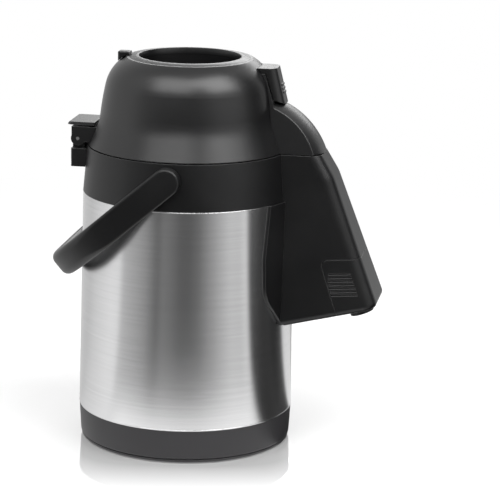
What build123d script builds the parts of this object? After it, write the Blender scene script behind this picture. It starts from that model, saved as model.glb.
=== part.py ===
# Thermal coffee airpot with a push-button pump, a front spout and a bail handle.
# Units are millimetres. The origin is the centre of the resting face, +Z is up and +X points to the spout.
from build123d import *
from math import cos, radians, sin, tan
import os

os.makedirs("parts", exist_ok=True)

# ---------------------------------------------------------------- clearances
fit = 0.1  # between pieces that are pushed together
run = 0.06  # radial play of a shaft or stud in its bore
gap = 0.3  # between pieces that move past each other
seam = 0.8  # open line between the lid and the collar

# ---------------------------------------------------------------- fasteners
screw_r = 1.5
screw_head_r = 3.0
screw_head_h = 1.8
screw_len = 9.0
screw_spare = 1.0

# ---------------------------------------------------------------- steel body
base_seam_z = 26.0
shell_h = 169.6
collar_seam_z = base_seam_z + shell_h
shell_r_low = 83.5
shell_draft = 2.3
shell_r_high = shell_r_low - shell_draft
shell_wall = 0.8
shell_lap = 3.0  # how far the steel steps in under the base and the collar
shell_lap_h = 9.0

# ---------------------------------------------------------------- swivel foot and base
pad_h = 0.6
pad_r = 6.0
pad_inset = 11.4
pad_count = 6
screw_cover_r = 9.0
foot_t = 2.1
foot_edge = 0.5
foot_hub_r = 10.0
foot_washer_r = 15.0
foot_washer_t = 1.5
base_step = 1.4
base_flare = 1.3
base_bottom_r = shell_r_low - base_step
base_top_r = base_bottom_r + base_flare
base_floor_t = 2.5
base_bottom_edge = 1.5
base_bottom_z = pad_h + foot_t + gap
foot_step = 0.7
foot_r = base_bottom_r - foot_step
pad_ring_r = foot_r - pad_inset
hub_top_z = base_bottom_z + base_floor_t + gap

# ---------------------------------------------------------------- inner liner
liner_space = 5.6
liner_r = shell_r_high - liner_space
liner_wall = 0.7
liner_bottom_z = 17.0
liner_shoulder_drop = 17.6
liner_shoulder_z = collar_seam_z - liner_shoulder_drop
liner_neck_rise = 4.4
liner_neck_z = collar_seam_z + liner_neck_rise
liner_corner_r = 12.0
liner_rim_h = 1.0
cushion_r = 34.0
cushion_play = 3.0

# ---------------------------------------------------------------- collar
collar_h = 35.5
collar_top_z = collar_seam_z + collar_h
lid_seam_z = collar_top_z + seam / 2
collar_draft = 3.2
collar_top_r = shell_r_high - collar_draft
collar_wall = 2.5
deck_drop = 2.6
deck_t = 2.5
deck_top_z = collar_top_z - deck_drop
sleeve_r = 41.0
sleeve_wall = 3.5
sleeve_h = 18.5
sleeve_bottom_z = deck_top_z - sleeve_h
seal_h = 2.0

# ---------------------------------------------------------------- dome of the lid
dome_bottom_z = lid_seam_z + seam / 2
dome_step = 0.5
dome_foot_r = collar_top_r - dome_step
neck_in, neck_up = 8.4, 14.9
shoulder_in, shoulder_up = 13.1, 46.5
crown_in, crown_up = 29.0, 67.4
flare_out, flare_up = 2.5, 6.6
dome_neck = (dome_foot_r - neck_in, dome_bottom_z + neck_up)
dome_flare = (dome_neck[0] + flare_out, dome_bottom_z + flare_up)
dome_shoulder = (dome_foot_r - shoulder_in, dome_bottom_z + shoulder_up)
dome_crown = (dome_foot_r - crown_in, dome_bottom_z + crown_up)
dome_wall = 2.5
mouth_lip = 9.2
mouth_r = dome_crown[0] - mouth_lip
mouth_edge_r = 2.4
well_wall = 2.0
gasket_h = 1.4
gasket_lap = 1.0
plate_bottom_z = deck_top_z + fit + gasket_h
plate_t = 3.0
plate_top_z = plate_bottom_z + plate_t
plate_space = 7.5
plate_r = dome_foot_r - plate_space
lug_out = 10.7
lug_ring_r = mouth_r + lug_out
lug_r = 4.5
lug_h = 14.0
lug_count = 4

# ---------------------------------------------------------------- pump
bellows_h = 18.0
bellows_space = 3.3
bellows_fold = 5.0
bellows_folds = 3
bellows_wall = 1.0
button_play = 0.5
button_r = mouth_r - button_play
button_t = 3.0
button_skirt_h = 10.0
button_h = 11.0
button_top_z = plate_top_z + bellows_h + button_h  # with the button pressed
button_dish = 1.6
button_lip = 3.0
button_edge_r = 1.0
bellows_r = button_r - bellows_space
spring_r = 15.0
spring_wire_r = 0.9
spring_turns = 4
valve_x = -14.0
valve_r = 9.0
valve_stem_r = 3.0
valve_flap_t = 1.5
valve_clip_t = 1.0

# ---------------------------------------------------------------- front spout
spout_half = 21.0  # at the lid seam
spout_low_half = 30.0  # at the heel
spout_wall = 2.5
spout_edge_r = 10.0
spout_root_in = 21.2
spout_root_x = shell_r_high - spout_root_in
spout_top_out = 27.8
spout_top_front = (collar_top_r + spout_top_out, collar_top_z)
bend_out, bend_drop = 37.5, 16.1
spout_bend_front = (collar_top_r + bend_out, collar_top_z - bend_drop)
spout_bend_r = 30.0
nose_out, nose_drop = 69.4, 79.4
spout_nose = (shell_r_low + nose_out, collar_seam_z - nose_drop)
spout_nose_r = 4.5
spout_heel_r = 8.0
heel_in, heel_drop = 1.5, 17.4
spout_heel = (shell_r_low - heel_in, spout_nose[1] - heel_drop)
spout_tilt = 19.0  # degrees off plumb of the nozzle and the tip cover
saddle_t = 1.7
saddle_top_half = 41.7
saddle_wide_half = 46.8
saddle_wide_drop = 40.6
saddle_cheek_half = 46.4
saddle_cheek_drop = 72.1
saddle_low_half = 26.5
saddle_low_drop = 96.6
saddle_cheek_r = 30.0
saddle_low_r = 12.0
cover_up = 35.6
cover_top_z = spout_nose[1] + cover_up
cover_back_in = 45.2
cover_back_x = spout_nose[0] - cover_back_in
cover_corner_r = 5.0
cover_rise = 4.7  # degrees the top seam and the grooves climb towards the front
cover_seam = 0.4
groove_down = 10.2
groove_top_z = cover_top_z - groove_down
groove_pitch = 2.7
groove_count = 7
groove_w = 1.2
groove_d = 0.7
groove_margin = 7.0
groove_front_margin = 1.5
groove_back_x = cover_back_x + groove_margin
nub_out = 25.0
nub_x = spout_heel[0] + nub_out
nub_r = 1.8
nub_half = 12.0

# ---------------------------------------------------------------- coffee path
tube_r = 4.5
tube_wall = 1.2
tube_drop = 14.1
tube_z = collar_top_z - tube_drop
tube_bend_r = 14.0
dip_in = 14.0
dip_x = sleeve_r - dip_in
dip_clearance = 6.0
elbow_r = 7.0
elbow_step = 1.0
elbow_drop = 11.0
elbow_play = 1.5
sleeve_bore_in = 10.0
nozzle_in, nozzle_drop = 14.4, 9.7
nozzle_x = spout_nose[0] - nozzle_in
nozzle_z = spout_nose[1] - nozzle_drop
nozzle_r = 9.2
nozzle_bore_r = 6.5
nozzle_len = 17.0
nozzle_socket = 7.0
nozzle_edge_r = 1.5
nozzle_web = 1.5

# ---------------------------------------------------------------- front cap, spine and lock slider
cap_r = 62.8
cap_mid_out, cap_mid_up = 14.7, 23.5  # where its round front passes, halfway between level and upright
cap_centre = (
    dome_foot_r + cap_mid_out - cap_r * sin(radians(45)),
    lid_seam_z + cap_mid_up - cap_r * cos(radians(45)),
)
cap_bulge = 6.5  # how far the middle of the front stands out from its side edges
cap_edge_r = 1.0
cap_wall = 2.5
spine_foot_in, spine_foot_up = 8.5, 32.1
spine_top_in, spine_top_up = 17.0, 59.1
spine_foot = (dome_foot_r - spine_foot_in, dome_bottom_z + spine_foot_up)
spine_top = (dome_foot_r - spine_top_in, dome_bottom_z + spine_top_up)
spine_root_in = 32.5
spine_root_x = dome_foot_r - spine_root_in
spine_half_top = 13.5
rail_neck = 10.0
rail_head = 15.0
rail_step = 1.0
rail_start = 11.0
rail_len = 14.0
slider_w = 24.0
slider_low_in = 0.9
slider_top_in, slider_top_up = 8.7, 63.1
slider_low = (dome_foot_r - slider_low_in, spine_foot[1])
slider_top = (dome_foot_r - slider_top_in, dome_bottom_z + slider_top_up)
slider_travel = 5.0
slider_corner_r = 7.0
slider_gap = 0.8
slider_rib = 0.6
slider_rib_pitch = 3.0
slider_rib_count = 3

# ---------------------------------------------------------------- button lock
lock_out = 11.9
lock_r = mouth_r + lock_out
lock_half = 4.7
lock_depth = 11.0
lock_rise = 2.5
lock_top_z = dome_crown[1] + lock_rise
lock_turn = 12.0
lock_stem_w = 4.0
lock_foot_t = 1.5
lock_corner_r = 2.0
lock_edge_r = 1.0

# ---------------------------------------------------------------- rear hinge
pin_out, pin_up = 6.6, 3.1
pin_x = -dome_foot_r - pin_out
pin_z = lid_seam_z + pin_up
pin_r = 1.25
hinge_half = 16.5
cheek_w = 3.6
cheek_r = 5.4
knuckle_r = 4.9
bridge_play = 0.5
bridge_bottom_z = pin_z + knuckle_r + bridge_play
yoke_rear_out = 4.9
yoke_rear_x = pin_x - yoke_rear_out
yoke_up = 9.3
yoke_top_z = pin_z + yoke_up
yoke_root_in = 23.2
yoke_root_x = pin_x + yoke_root_in
block_rear_out = 5.5
block_rear_x = pin_x - block_rear_out
block_root_in = 13.2
block_root_x = pin_x + block_root_in
block_top_drop = 4.7
block_top_z = lid_seam_z - block_top_drop
block_h = 14.2
block_bottom_z = block_top_z - block_h
block_edge_r = 1.5
block_groove_count = 3
block_groove_pitch = 1.6
block_groove_w = 0.6
block_groove_d = 0.4
block_groove_up = 2.0
knuckle_root = 1.0
knuckle_inset = 0.2
release_gap = 1.3
release_t = 2.4
release_rear_out = 8.7
release_rear_x = pin_x - release_rear_out
release_front_in = 13.2
release_front_x = pin_x + release_front_in
release_beak = 2.0
release_corner_r = 4.5
release_pin_in = 7.2
release_pin_x = pin_x + release_pin_in
release_pin_r = 1.1
release_pin_wall = 0.9
release_ear_w = 3.0
release_knuckle_half = 6.0

# ---------------------------------------------------------------- bail handle
bail_drop = 11.6
bail_z = collar_top_z - bail_drop
bail_rest = 41.0  # degrees below level, leaning to the rear
bail_space = 1.1
bail_inner_half = shell_r_high + bail_space
bail_t = 10.0
bail_h = 21.0
bail_out = 33.0
bail_inner_reach = shell_r_high + bail_out
bail_grip_t = 11.0
bail_corner_r = 58.0
bail_bevel = 2.0
bail_end_r = 6.0
bail_relief = 1.2  # between the body and the hollow it rests in on the inside of the grip
stud_r = 5.0
stud_in = 13.7
stud_end = shell_r_high - stud_in
stud_boss_r = 8.0
stud_boss_wall = 3.5
washer_r = 6.2
washer_t = 1.4


def shell_r(z):
    """Outer radius of the steel body at height z."""
    share = (z - base_seam_z) / (collar_seam_z - base_seam_z)
    return shell_r_low + (shell_r_high - shell_r_low) * share


def collar_r(z):
    """Outer radius of the collar at height z."""
    share = (z - collar_seam_z) / (collar_top_z - collar_seam_z)
    return shell_r_high + (collar_top_r - shell_r_high) * share


def spout_bottom_z(x):
    """Height of the spout's slanted bottom face at x."""
    slope = (spout_nose[1] - spout_heel[1]) / (spout_nose[0] - spout_heel[0])
    return spout_heel[1] + (x - spout_heel[0]) * slope


def spout_front_x(z):
    """Where the spout's slanted front face is at height z."""
    slope = (spout_nose[0] - spout_bend_front[0]) / (spout_bend_front[1] - spout_nose[1])
    return spout_nose[0] - (z - spout_nose[1]) * slope


def spout_side(z):
    """Half width of the spout at height z."""
    share = (collar_top_z - z) / (collar_top_z - spout_heel[1])
    return spout_half + (spout_low_half - spout_half) * share


def spine_x(z):
    """Where the spine's front face is at height z."""
    slope = (spine_top[0] - spine_foot[0]) / (spine_top[1] - spine_foot[1])
    return spine_foot[0] + (z - spine_foot[1]) * slope


def dome_form(grow):
    """Solid inside the dome's outer face, with that face moved out by grow."""
    foot = (dome_foot_r + grow, dome_bottom_z)
    flare_mid = (dome_flare[0] + grow, dome_flare[1])
    neck = (dome_neck[0] + grow, dome_neck[1])
    shoulder = (dome_shoulder[0] + grow, dome_shoulder[1])
    crown = (dome_crown[0], dome_crown[1] + grow)
    with BuildPart() as form:
        with BuildSketch(Plane.XZ):
            with BuildLine():
                flare = ThreePointArc(foot, flare_mid, neck)
                wall = TangentArc(neck, shoulder, tangent=flare % 1)
                TangentArc(shoulder, crown, tangent=wall % 1)
                Polyline(crown, (0, crown[1]), (0, dome_bottom_z), foot)
            make_face()
        revolve(axis=Axis.Z)
    return form.part


def body_form(grow_shell, grow_collar):
    """Solid inside the steel body and the collar, with their sides moved out by the two amounts."""
    with BuildPart() as form:
        with BuildSketch(Plane.XZ):
            with BuildLine():
                Polyline(
                    (0, base_seam_z),
                    (shell_r_low + grow_shell, base_seam_z),
                    (shell_r_high + grow_shell, collar_seam_z),
                    (0, collar_seam_z),
                    close=True,
                )
            make_face()
            with BuildLine():
                Polyline(
                    (0, collar_seam_z),
                    (shell_r_high + grow_collar, collar_seam_z),
                    (collar_top_r + grow_collar, collar_top_z),
                    (collar_top_r + grow_collar, collar_top_z + seam),
                    (0, collar_top_z + seam),
                    close=True,
                )
            make_face()
        revolve(axis=Axis.Z)
    return form.part


def spout_form(inset):
    """Solid of the spout housing's outer shape, with every face moved in by inset."""
    with BuildPart() as form:
        with BuildSketch(Plane.XZ):
            with BuildLine():
                Polyline(
                    (spout_root_x, spout_top_front[1]),
                    spout_top_front,
                    spout_bend_front,
                    spout_nose,
                    spout_heel,
                    (spout_root_x, spout_heel[1] + spout_heel[0] - spout_root_x),
                    close=True,
                )
            face = make_face()
            fillet(face.vertices().sort_by_distance(spout_bend_front)[0], spout_bend_r)
            fillet(face.vertices().sort_by_distance(spout_heel)[0], spout_heel_r)
            if inset:
                offset(amount=-inset, kind=Kind.INTERSECTION)
        extrude(amount=spout_side(0), both=True)
        with BuildSketch(Plane.YZ):
            with BuildLine():
                Polyline(
                    (spout_side(0) - inset, 0),
                    (spout_half - inset, collar_top_z),
                    (inset - spout_half, collar_top_z),
                    (inset - spout_side(0), 0),
                    close=True,
                )
            make_face()
        extrude(amount=2 * spout_nose[0], mode=Mode.INTERSECT)
        ridges = form.edges().filter_by(
            lambda e: abs(e.center().Y) > spout_half / 2
            and e.center().X > spout_heel[0] + spout_edge_r
            and abs((e @ 0).Z - (e @ 1).Z) > fit
            and e.center().Z > spout_nose[1] + spout_nose_r
        )
        fillet(ridges, spout_edge_r - inset)
        bottom = form.faces().filter_by(lambda f: f.normal_at().Z < -0.5).sort_by(SortBy.AREA)[-1]
        low_edges = bottom.edges().filter_by(lambda e: e.center().X > spout_heel[0] + spout_heel_r)
        fillet(low_edges, spout_nose_r - inset)
    return form.part


def spine_taper(inset, bottom_z):
    """Wedge between the slanted side faces of the front cap and spine, each moved in by inset."""
    slope = (spout_half - spine_half_top) / (spine_top[1] - dome_bottom_z)
    half_top = spine_half_top - inset
    half_bottom = half_top + slope * (spine_top[1] - bottom_z)
    with BuildPart() as form:
        with BuildSketch(Plane.YZ):
            with BuildLine():
                Polyline(
                    (half_bottom, bottom_z),
                    (half_top, spine_top[1]),
                    (-half_top, spine_top[1]),
                    (-half_bottom, bottom_z),
                    close=True,
                )
            make_face()
        extrude(amount=2 * cap_r)
    return form.part


def cap_form(inset, bottom_z):
    """Solid of the lid's front cap, bulged across its front, with its outer faces moved in by inset."""
    crown_x = cap_centre[0] + cap_r - inset
    with BuildPart() as form:
        with BuildSketch(Plane.XY.offset(cap_centre[1])):
            with BuildLine():
                front = ThreePointArc(
                    (crown_x - cap_bulge, -spout_half),
                    (crown_x, 0),
                    (crown_x - cap_bulge, spout_half),
                )
                Polyline(front @ 1, (cap_centre[0], spout_half), (cap_centre[0], -spout_half), front @ 0)
            make_face()
        revolve(axis=Axis((cap_centre[0], 0, cap_centre[1]), (0, 1, 0)))
        with BuildSketch(Plane.XZ):
            with Locations((spine_root_x + cap_r, bottom_z + cap_r)):
                Rectangle(2 * cap_r, 2 * cap_r)
        extrude(amount=spout_half, both=True, mode=Mode.INTERSECT)
        add(spine_taper(inset, bottom_z), mode=Mode.INTERSECT)
    return form.part


def spine_form(inset):
    """Solid of the upright spine above the front cap, with its outer faces moved in by inset."""
    with BuildPart() as form:
        with BuildSketch(Plane.XZ):
            with BuildLine():
                Polyline(
                    (spine_root_x, dome_bottom_z),
                    (spine_x(dome_bottom_z) - inset, dome_bottom_z),
                    (spine_top[0] - inset, spine_top[1] - inset),
                    (spine_root_x, spine_top[1] - inset),
                    close=True,
                )
            make_face()
        extrude(amount=spout_half, both=True)
        add(spine_taper(inset, dome_bottom_z), mode=Mode.INTERSECT)
    return form.part


# ================================================================ swivel foot
with BuildPart() as swivel_foot:
    with BuildSketch(Plane.XY.offset(pad_h)):
        Circle(foot_r)
    extrude(amount=foot_t)
    chamfer(swivel_foot.edges(), foot_edge)
    with BuildSketch(Plane.XY.offset(pad_h + foot_t)):
        Circle(foot_hub_r)
    extrude(amount=hub_top_z - pad_h - foot_t)
    with BuildSketch(Plane.XY.offset(pad_h)):
        Circle(screw_r + fit)
    extrude(amount=hub_top_z - pad_h, mode=Mode.SUBTRACT)
swivel_foot.part.label = "swivel_foot"
export_step(swivel_foot.part, "parts/swivel_foot.step")

with BuildPart() as foot_pads:
    with BuildSketch():
        with PolarLocations(pad_ring_r, pad_count):
            Circle(pad_r)
        Circle(screw_cover_r)
    extrude(amount=pad_h)
foot_pads.part.label = "foot_pads"
export_step(foot_pads.part, "parts/foot_pads.step")

with BuildPart() as foot_washer:
    with BuildSketch(Plane.XY.offset(hub_top_z)):
        Circle(foot_washer_r)
        Circle(screw_r + fit, mode=Mode.SUBTRACT)
    extrude(amount=foot_washer_t)
foot_washer.part.label = "foot_washer"
export_step(foot_washer.part, "parts/foot_washer.step")

with BuildPart() as foot_screw:
    with BuildSketch(Plane.XY.offset(hub_top_z + foot_washer_t)):
        Circle(screw_head_r)
    extrude(amount=screw_head_h)
    with BuildSketch(Plane.XY.offset(hub_top_z + foot_washer_t)):
        Circle(screw_r)
    extrude(amount=-(hub_top_z + foot_washer_t - pad_h - fit))
foot_screw.part.label = "foot_screw"
export_step(foot_screw.part, "parts/foot_screw.step")

# ================================================================ base ring
lap_r_low = shell_r(base_seam_z) - shell_lap
lap_r_high = shell_r(collar_seam_z) - shell_lap
with BuildPart() as base_ring:
    with BuildSketch(Plane.XZ):
        with BuildLine():
            Polyline(
                (foot_hub_r + run, base_bottom_z),
                (base_bottom_r, base_bottom_z),
                (base_top_r, base_seam_z),
                (lap_r_low + fit, base_seam_z),
                (lap_r_low + fit, base_bottom_z + base_floor_t),
                (foot_hub_r + run, base_bottom_z + base_floor_t),
                close=True,
            )
        make_face()
    revolve(axis=Axis.Z)
    outer = base_ring.faces().filter_by(GeomType.CONE)[0]
    fillet(outer.edges().sort_by(Axis.Z)[0], base_bottom_edge)
base_ring.part.label = "base_ring"
export_step(base_ring.part, "parts/base_ring.step")

with BuildPart() as liner_cushion:
    with BuildSketch(Plane.XY.offset(base_bottom_z + base_floor_t)):
        Circle(cushion_r)
        Circle(foot_washer_r + cushion_play, mode=Mode.SUBTRACT)
    extrude(amount=liner_bottom_z - base_bottom_z - base_floor_t)
liner_cushion.part.label = "liner_cushion"
export_step(liner_cushion.part, "parts/liner_cushion.step")

# ================================================================ steel body
with BuildPart() as outer_shell:
    with BuildSketch(Plane.XZ):
        with BuildLine():
            Polyline(
                (lap_r_low, base_seam_z - shell_lap_h),
                (lap_r_low, base_seam_z + fit),
                (shell_r_low, base_seam_z + fit),
                (shell_r_high, collar_seam_z - fit),
                (lap_r_high, collar_seam_z - fit),
                (lap_r_high, collar_seam_z + shell_lap_h),
                (lap_r_high - shell_wall, collar_seam_z + shell_lap_h),
                (lap_r_high - shell_wall, collar_seam_z - fit - shell_wall),
                (shell_r_high - shell_wall, collar_seam_z - fit - shell_wall),
                (shell_r_low - shell_wall, base_seam_z + fit + shell_wall),
                (lap_r_low - shell_wall, base_seam_z + fit + shell_wall),
                (lap_r_low - shell_wall, base_seam_z - shell_lap_h),
                close=True,
            )
        make_face()
    revolve(axis=Axis.Z)
outer_shell.part.label = "outer_shell"
export_step(outer_shell.part, "parts/outer_shell.step")

with BuildPart() as inner_liner:
    with BuildSketch(Plane.XZ) as liner_section:
        with BuildLine():
            Polyline(
                (0, liner_bottom_z),
                (liner_r, liner_bottom_z),
                (liner_r, liner_shoulder_z),
                (sleeve_r + liner_wall, liner_neck_z),
                (sleeve_r + liner_wall, sleeve_bottom_z - seal_h),
                (0, sleeve_bottom_z - seal_h),
                close=True,
            )
        make_face()
        for corner in ((liner_r, liner_bottom_z), (liner_r, liner_shoulder_z)):
            fillet(liner_section.vertices().sort_by_distance(corner)[0], liner_corner_r)
    revolve(axis=Axis.Z)
    mouth_face = inner_liner.faces().sort_by(Axis.Z)[-1]
    offset(amount=-liner_wall, openings=mouth_face, kind=Kind.INTERSECTION)
    with BuildSketch(Plane.XY.offset(sleeve_bottom_z - seal_h)):
        Circle(sleeve_r + sleeve_wall)
        Circle(sleeve_r, mode=Mode.SUBTRACT)
    extrude(amount=-liner_rim_h)
inner_liner.part.label = "inner_liner"
export_step(inner_liner.part, "parts/inner_liner.step")

with BuildPart() as neck_seal:
    with BuildSketch(Plane.XY.offset(sleeve_bottom_z - seal_h)):
        Circle(sleeve_r + sleeve_wall)
        Circle(sleeve_r, mode=Mode.SUBTRACT)
    extrude(amount=seal_h)
neck_seal.part.label = "neck_seal"
export_step(neck_seal.part, "parts/neck_seal.step")

# ================================================================ collar
with BuildPart() as collar:
    with BuildSketch(Plane.XZ):
        with BuildLine():
            Polyline(
                (shell_r_high, collar_seam_z),
                (collar_top_r, collar_top_z),
                (collar_top_r - collar_wall, collar_top_z),
                (collar_top_r - collar_wall, deck_top_z),
                (sleeve_r, deck_top_z),
                (sleeve_r, sleeve_bottom_z),
                (sleeve_r + sleeve_wall, sleeve_bottom_z),
                (sleeve_r + sleeve_wall, deck_top_z - deck_t),
                (collar_r(deck_top_z - deck_t) - collar_wall, deck_top_z - deck_t),
                (lap_r_high + fit, collar_seam_z + shell_lap_h + gap),
                (lap_r_high + fit, collar_seam_z),
                close=True,
            )
        make_face()
    revolve(axis=Axis.Z)
    for turn in (0, 180):
        with BuildSketch(Plane.XZ.rotated((0, 0, turn)).offset(stud_end + gap)):
            with Locations((0, bail_z)):
                Circle(stud_r + stud_boss_wall)
        extrude(amount=collar_r(bail_z) - collar_wall - stud_end)
    with BuildSketch(Plane.XZ):
        with Locations((0, bail_z)):
            Circle(stud_r + run)
    extrude(amount=2 * collar_top_r, both=True, mode=Mode.SUBTRACT)
    with BuildSketch(Plane.YZ.offset(sleeve_r - sleeve_bore_in)):
        with Locations((0, tube_z)):
            Circle(tube_r + fit)
    extrude(amount=collar_top_r, mode=Mode.SUBTRACT)
collar.part.label = "collar"
export_step(collar.part, "parts/collar.step")

# ================================================================ coffee path
elbow_bottom_z = tube_z - elbow_drop
with BuildPart() as dip_tube:
    with BuildSketch(Plane.XY.offset(liner_bottom_z + dip_clearance)):
        with Locations((dip_x, 0)):
            Circle(tube_r)
            Circle(tube_r - tube_wall, mode=Mode.SUBTRACT)
    extrude(amount=elbow_bottom_z + elbow_drop / 2 - liner_bottom_z - dip_clearance)
dip_tube.part.label = "dip_tube"
export_step(dip_tube.part, "parts/dip_tube.step")

tube_start_x = dip_x + elbow_r - elbow_step
with BuildPart() as tube_elbow:
    with BuildSketch(Plane.XY.offset(elbow_bottom_z)):
        with Locations((dip_x, 0)):
            Circle(elbow_r)
    extrude(amount=elbow_drop + elbow_r - elbow_step)
    with BuildSketch(Plane.YZ.offset(dip_x)):
        with Locations((0, tube_z)):
            Circle(elbow_r - elbow_step)
    extrude(amount=sleeve_r - elbow_play - dip_x)
    with BuildSketch(Plane.XY.offset(elbow_bottom_z)):
        with Locations((dip_x, 0)):
            Circle(tube_r + fit / 2)
    extrude(amount=elbow_drop / 2, mode=Mode.SUBTRACT)
    with BuildSketch(Plane.XY.offset(elbow_bottom_z)):
        with Locations((dip_x, 0)):
            Circle(tube_r - tube_wall)
    extrude(amount=elbow_drop, mode=Mode.SUBTRACT)
    with BuildSketch(Plane.YZ.offset(dip_x)):
        with Locations((0, tube_z)):
            Circle(tube_r - tube_wall)
    extrude(amount=sleeve_r, mode=Mode.SUBTRACT)
    with BuildSketch(Plane.YZ.offset(tube_start_x)):
        with Locations((0, tube_z)):
            Circle(tube_r + fit / 2)
    extrude(amount=sleeve_r, mode=Mode.SUBTRACT)
tube_elbow.part.label = "tube_elbow"
export_step(tube_elbow.part, "parts/tube_elbow.step")

tilt = radians(spout_tilt)
nozzle_axis = Vector(sin(tilt), 0, -cos(tilt))
nozzle_mouth = Vector(nozzle_x, 0, nozzle_z)
nozzle_top = nozzle_mouth - nozzle_axis * nozzle_len
nozzle_plane = Plane(origin=nozzle_mouth, x_dir=(cos(tilt), 0, sin(tilt)), z_dir=nozzle_axis * -1)
tube_end = nozzle_top + nozzle_axis * (nozzle_socket - fit)
tube_corner = tube_end - nozzle_axis * ((tube_z - tube_end.Z) / cos(tilt))
with BuildPart() as delivery_tube:
    with BuildLine(Plane.XZ) as tube_path:
        FilletPolyline(
            (tube_start_x, tube_z),
            (tube_corner.X, tube_corner.Z),
            (tube_end.X, tube_end.Z),
            radius=tube_bend_r,
        )
    with BuildSketch(Plane.YZ.offset(tube_start_x)):
        with Locations((0, tube_z)):
            Circle(tube_r)
            Circle(tube_r - tube_wall, mode=Mode.SUBTRACT)
    sweep(path=tube_path.line)
delivery_tube.part.label = "delivery_tube"
export_step(delivery_tube.part, "parts/delivery_tube.step")

with BuildPart() as nozzle:
    with BuildSketch(nozzle_plane):
        Circle(nozzle_r)
    extrude(amount=nozzle_len)
    fillet(nozzle.edges().filter_by(GeomType.CIRCLE).sort_by(Axis.Z)[-1], nozzle_edge_r)
    with BuildSketch(nozzle_plane):
        Circle(nozzle_bore_r)
    extrude(amount=nozzle_len - nozzle_socket - nozzle_web, mode=Mode.SUBTRACT)
    with BuildSketch(nozzle_plane):
        Circle(tube_r - tube_wall)
    extrude(amount=nozzle_len, mode=Mode.SUBTRACT)
    with BuildSketch(nozzle_plane.offset(nozzle_len - nozzle_socket)):
        Circle(tube_r + fit / 2)
    extrude(amount=nozzle_socket, mode=Mode.SUBTRACT)
nozzle.part.label = "nozzle"
export_step(nozzle.part, "parts/nozzle.step")

# ================================================================ saddle and spout housing
saddle_top_z = collar_seam_z - fit
saddle_wide_z = collar_seam_z - saddle_wide_drop
saddle_cheek_z = collar_seam_z - saddle_cheek_drop
saddle_low_z = collar_seam_z - saddle_low_drop
with BuildPart() as saddle:
    add(body_form(fit + saddle_t, fit))
    add(body_form(fit, fit), mode=Mode.SUBTRACT)
    with BuildSketch(Plane.YZ):
        with BuildLine():
            Polyline(
                (saddle_top_half, saddle_top_z),
                (saddle_wide_half, saddle_wide_z),
                (saddle_cheek_half, saddle_cheek_z),
                (saddle_low_half, saddle_low_z),
                (-saddle_low_half, saddle_low_z),
                (-saddle_cheek_half, saddle_cheek_z),
                (-saddle_wide_half, saddle_wide_z),
                (-saddle_top_half, saddle_top_z),
                close=True,
            )
        shield = make_face()
        fillet(shield.vertices().filter_by(lambda v: abs(v.Y - saddle_cheek_z) < fit), saddle_cheek_r)
        fillet(shield.vertices().filter_by(lambda v: abs(v.Y - saddle_low_z) < fit), saddle_low_r)
    extrude(amount=2 * shell_r_low, mode=Mode.INTERSECT)
saddle.part.label = "saddle"
export_step(saddle.part, "parts/saddle.step")

spout_hollow = spout_form(spout_wall)
spout_rear = body_form(2 * fit + saddle_t, fit)


def cover_z(x):
    """Height of the tip cover's top seam at x."""
    return cover_top_z + (x - cover_back_x) * tan(radians(cover_rise))


def cover_region(grow):
    """Prism that holds the tip cover, with its seam faces moved out by grow."""
    with BuildPart() as form:
        with BuildSketch(Plane.XZ):
            with BuildLine():
                Polyline(
                    (cover_back_x - grow, cover_top_z + grow),
                    (2 * spout_nose[0], cover_z(2 * spout_nose[0]) + grow),
                    (2 * spout_nose[0], 0),
                    (cover_back_x - grow + (cover_top_z + grow) * tan(tilt), 0),
                    close=True,
                )
            face = make_face()
            fillet(face.vertices().sort_by_distance((cover_back_x, cover_top_z))[0], cover_corner_r)
        extrude(amount=2 * spout_low_half, both=True)
    return form.part


with BuildPart() as spout_housing:
    add(spout_form(0))
    add(spout_rear, mode=Mode.SUBTRACT)
    add(spout_hollow, mode=Mode.SUBTRACT)
    add(cover_region(cover_seam), mode=Mode.SUBTRACT)
    with BuildSketch(Plane.XZ):
        with Locations((nub_x, spout_bottom_z(nub_x))):
            Circle(nub_r)
    extrude(amount=nub_half, both=True)
    add(spout_hollow, mode=Mode.SUBTRACT)
spout_housing.part.label = "spout_housing"
export_step(spout_housing.part, "parts/spout_housing.step")

with BuildPart() as tip_cover:
    add(spout_form(0))
    add(spout_hollow, mode=Mode.SUBTRACT)
    add(cover_region(0), mode=Mode.INTERSECT)
    with BuildSketch(nozzle_plane.offset(-nozzle_len)):
        Circle(nozzle_r + gap)
    extrude(amount=2 * nozzle_len, mode=Mode.SUBTRACT)
    for i in range(groove_count):
        groove_z = groove_top_z - i * groove_pitch
        groove_len = spout_front_x(groove_z) - spout_edge_r - groove_front_margin - groove_back_x
        groove_mid = (groove_back_x + groove_len / 2, groove_z + cover_z(groove_back_x) - cover_top_z)
        for y in (spout_side(groove_z), -spout_side(groove_z)):
            with Locations(Location((groove_mid[0], y, groove_mid[1]), (0, -cover_rise, 0))):
                Box(groove_len, 2 * groove_d, groove_w, mode=Mode.SUBTRACT)
tip_cover.part.label = "tip_cover"
export_step(tip_cover.part, "parts/tip_cover.step")

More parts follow.
